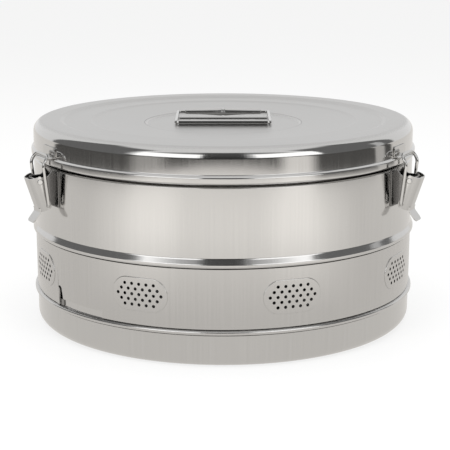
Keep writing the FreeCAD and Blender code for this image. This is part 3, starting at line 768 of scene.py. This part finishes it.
base = {"width": 36.0, "low": 128.5, "high": 163.5, "back": 187.15, "front": 188.2, "root": 187.6,
        "sheet": 1.2, "earSpacing": 17.0, "earRound": 3.6}
basePlate = curvedPlate("latchBase", base["width"], base["low"], base["high"], base["back"], base["front"])
root = base["root"]
earTop = latch["pivot"][1] + base["earRound"]
earReach = latch["pivot"][0] + base["earRound"]
earOutline = [(root, 162.7), (latch["pivot"][0] - 9, earTop), (earReach, earTop),
              (earReach, latch["pivot"][1] - 1.2), (root + 5, 129.3), (root, 129.3)]
ears = []
for side in (-1, 1):
    outerFace = side * base["earSpacing"] / 2
    ears.append(block("ear", [(out * mm, outerFace * mm, up * mm) for out, up in earOutline],
                      [0, 4 * mm, 3.2 * mm, 2 * mm, 3 * mm, 0], (0, -side * base["sheet"] * mm, 0)))
latchBase = joined([basePlate] + ears, "latchBase")
softEdges(latchBase, 0.15 * mm, 2, 50)
smooth(latchBase, 35)

keeperSizes = {"width": 26.0, "back": 186.85, "front": 187.9, "root": 187.2, "ledgeWidth": 20.0,
               "ledgeTop": 174.8, "sheet": 1.2, "height": 10.0, "nose": 195.8, "noseRun": 0.9, "drop": 1.8}
ledgeTop = keeperSizes["ledgeTop"]
ledgeSide = -keeperSizes["ledgeWidth"] / 2
nose = keeperSizes["nose"]
keeperPlate = curvedPlate("keeper", keeperSizes["width"], ledgeTop - keeperSizes["sheet"],
                          ledgeTop - keeperSizes["sheet"] + keeperSizes["height"],
                          keeperSizes["back"], keeperSizes["front"])
ledgePath = [(keeperSizes["root"], ledgeTop), (nose, ledgeTop),
             (nose + keeperSizes["noseRun"], ledgeTop - keeperSizes["drop"])]
ledge = drawnPath("ledge", [(out * mm, ledgeSide * mm, up * mm) for out, up in ledgePath], [0, 1.4 * mm, 0])
pulled(ledge, (0, keeperSizes["ledgeWidth"] * mm, 0))
thickened(ledge, keeperSizes["sheet"] * mm, (0.191, 0, (ledgeTop - 3) * mm))
keeper = joined([keeperPlate, ledge], "keeper")
softEdges(keeper, 0.15 * mm, 2, 50)
smooth(keeper, 35)

# the latch bases take the darker steel: painted shade between the levers and the drum
for number, angle in enumerate(latch["angles"], 1):
    place = Matrix.Rotation(math.radians(angle - 90), 4, "Z")
    for piece, body, node, metal in ((latchBase, "drum", "latch_base", shadedSteel),
                                     (channel, "lever_body_" + str(number), "lever", brightSteel),
                                     (leverPin, "lever_body_" + str(number), "lever_pin", brightSteel),
                                     (bail, "bail_body_" + str(number), "bail", brightSteel),
                                     (keeper, "lid", "keeper", brightSteel)):
        twin = copied(piece, piece.name + str(number), place)
        finished(twin, metal, body, [node + "_" + str(number)])
for piece in (latchBase, channel, leverPin, bail, keeper):
    bpy.data.objects.remove(piece)
print("latches are done")


# studio

studio = {"tableFront": 1.20, "tableSide": 1.02, "near": 0.76, "far": 1.07, "nearReach": 0.33,
          "farReach": 0.70, "frontGlow": 0.20, "sideFall": 0.26, "tint": (1.02, 0.991, 0.951),
          "seenWhite": 0.72, "dark": 0.10, "leftGlow": 0.32, "rightGlow": 0.85, "cardGlow": 0.48,
          "backdrop": 0.91, "overhead": 0.32, "sideDark": 0.18, "boxLight": 1.75, "boxGap": 13,
          "boxEnd": 53, "cardLight": 0.45, "fill": 0.75}
lights = {"overhead": ((0, 0.1, 1.7), (0, 0, 0), (1.6, 1.6), 16),  # place, target, size, power
          "leftBox": ((-0.95, -1.35, 0.9), (-0.2, -0.4, 0.0), (0.7, 0.9), 9),
          "rightBox": ((0.95, -1.35, 0.9), (0.2, -0.4, 0.0), (0.7, 0.9), 9)}


def hump(value, low, high, soft):  # 1 between low and high, 0 outside
    return value.band(low - soft, low + soft) * (1 - value.band(high - soft, high + soft))


def makeFloor():
    deselectAll()
    bpy.ops.mesh.primitive_plane_add(size=14, location=(0, 0, -0.0005))
    floor = settled(bpy.context.object)
    floor.name = "floor"
    material, start, output = newFinish("paleFloor")
    place = start.node("ShaderNodeTexCoord", output=3)
    parts = start.node("ShaderNodeSeparateXYZ", sockets={0: place}).socket.node
    x, y = [Value(start.tree, socket) for socket in parts.outputs[:2]]
    reach = start.maths("SQRT", x * x + y * y)
    azimuth = start.maths("ARCTAN2", x, 0 - y) * (180 / math.pi)
    turned = start.maths("ABSOLUTE", azimuth)
    edge = studio["tableFront"] + turned.band(5, 55) * (studio["tableSide"] - studio["tableFront"])
    beyond = (reach - edge).band(-0.05, 0.05) * (1 - turned.band(109, 112))  # the table runs on behind
    run = (reach - studio["nearReach"]) / (studio["farReach"] - studio["nearReach"])
    rise = start.maths("MAXIMUM", start.maths("MINIMUM", run, 1.0), 0.0)
    glow = studio["frontGlow"] * hump(turned, 24, 50, 9) - studio["sideFall"] * turned.band(50, 80)
    table = studio["near"] + rise * (studio["far"] - studio["near"] + glow)
    outer = (studio["dark"] + studio["leftGlow"] * hump(azimuth, -50, -32, 5)
             + studio["rightGlow"] * hump(azimuth, 32, 50, 5)
             + studio["cardGlow"] * hump(azimuth, 94, 103, 1.0))
    shade = table * (1 - beyond) + outer * beyond
    paths = start.node("ShaderNodeLightPath").socket.node
    camera = Value(start.tree, paths.outputs["Is Camera Ray"])
    glossy = Value(start.tree, paths.outputs["Is Glossy Ray"])
    grain = start.node("ShaderNodeTexNoise", sockets={"Vector": place, "Scale": 40.0, "Detail": 3.0})
    paint = start.node("ShaderNodeBsdfDiffuse", sockets={"Color": (0.88, 0.88, 0.875, 1)})
    warm = start.node("ShaderNodeVectorMath", {"operation": "SCALE"}, {0: studio["tint"], "Scale": shade})
    tabletop = start.node("ShaderNodeEmission", sockets={"Color": warm})
    white = start.node("ShaderNodeEmission", sockets={"Strength": 1.0})
    seen = start.node("ShaderNodeMixShader", sockets={
        0: camera * (studio["seenWhite"] + grain * 0.02), 1: paint, 2: white})
    reflected = start.node("ShaderNodeMixShader", sockets={0: glossy, 1: seen, 2: tabletop})
    start.tree.links.new(reflected.socket, output.inputs["Surface"])
    floor.data.materials.append(material)


def makeWorld():
    world = bpy.data.worlds.new("studio")
    bpy.context.scene.world = world
    world.use_nodes = True
    tree = world.node_tree
    tree.nodes.clear()
    output = tree.nodes.new("ShaderNodeOutputWorld")
    start = Value(tree, None)
    way = start.node("ShaderNodeTexCoord", output=0)
    parts = start.node("ShaderNodeSeparateXYZ", sockets={0: way}).socket.node
    x, y, z = [Value(tree, socket) for socket in parts.outputs]
    azimuth = start.maths("ARCTAN2", x, 0 - y) * (180 / math.pi)
    turned = start.maths("ABSOLUTE", azimuth)
    overhead = z.band(0.60, 0.66) * (1 - y.band(-0.56, -0.48))
    right = x.band(-0.1, 0.1)
    sides = turned.band(54, 60) * (1 - turned.band(118, 121)) * (1 - z.band(0.80, 0.88))
    low = (1 - turned.band(56, 60)) * (1 - z.band(0.06, 0.10))
    centre = (1 - turned.band(11, 20)) * (1 - z.band(0.78, 0.86))
    dark = start.maths("MAXIMUM", low, centre)
    boxes = hump(turned - right * 6, studio["boxGap"], studio["boxEnd"], 1.5) * hump(z, 0.06, 0.60, 0.03)
    card = hump(azimuth, 101, 109, 1.0) * (1 - z.band(0.38, 0.42))
    room = studio["backdrop"] * (1 - overhead) + overhead * studio["overhead"]
    room = room * (1 - sides) + sides * studio["sideDark"]
    room = room * (1 - dark) + dark * studio["dark"] * (0.35 + z * 0.9)
    reflected = room * (1 - boxes) + boxes * studio["boxLight"] + card * studio["cardLight"]
    paths = start.node("ShaderNodeLightPath").socket.node
    camera = Value(tree, paths.outputs["Is Camera Ray"])
    glossy = Value(tree, paths.outputs["Is Glossy Ray"])
    strength = camera + (1 - camera) * (glossy * reflected + (1 - glossy) * studio["fill"])
    background = start.node("ShaderNodeBackground", sockets={"Color": (1, 1, 1, 1), "Strength": strength})
    tree.links.new(background.socket, output.inputs["Surface"])


def areaLight(name, place, target, size, power):  # lights the floor and the seal, the steel doesn't mirror it
    light = bpy.data.lights.new(name, "AREA")
    light.shape = "RECTANGLE"
    light.size = size[0]
    light.size_y = size[1]
    light.energy = power
    lamp = bpy.data.objects.new(name, light)
    bpy.context.collection.objects.link(lamp)
    lamp.location = place
    lamp.rotation_euler = (Vector(target) - Vector(place)).to_track_quat("-Z", "Y").to_euler()
    lamp.visible_glossy = False


makeFloor()
makeWorld()
for name, setup in lights.items():
    areaLight(name, *setup)

view = {"lens": 102.54, "place": (0, -1.2628, 0.38216), "down": 13.187, "shift": 1.88 / 450}
lens = bpy.data.cameras.new("photoView")
lens.lens = view["lens"]
lens.sensor_width = 36
lens.shift_x = view["shift"]
lens.clip_end = 50
camera = bpy.data.objects.new("photoView", lens)
bpy.context.collection.objects.link(camera)
camera.location = view["place"]
camera.rotation_euler = (math.radians(90 - view["down"]), 0, 0)
bpy.context.scene.camera = camera
bpy.context.scene.view_settings.view_transform = "Standard"
print("studio is done")
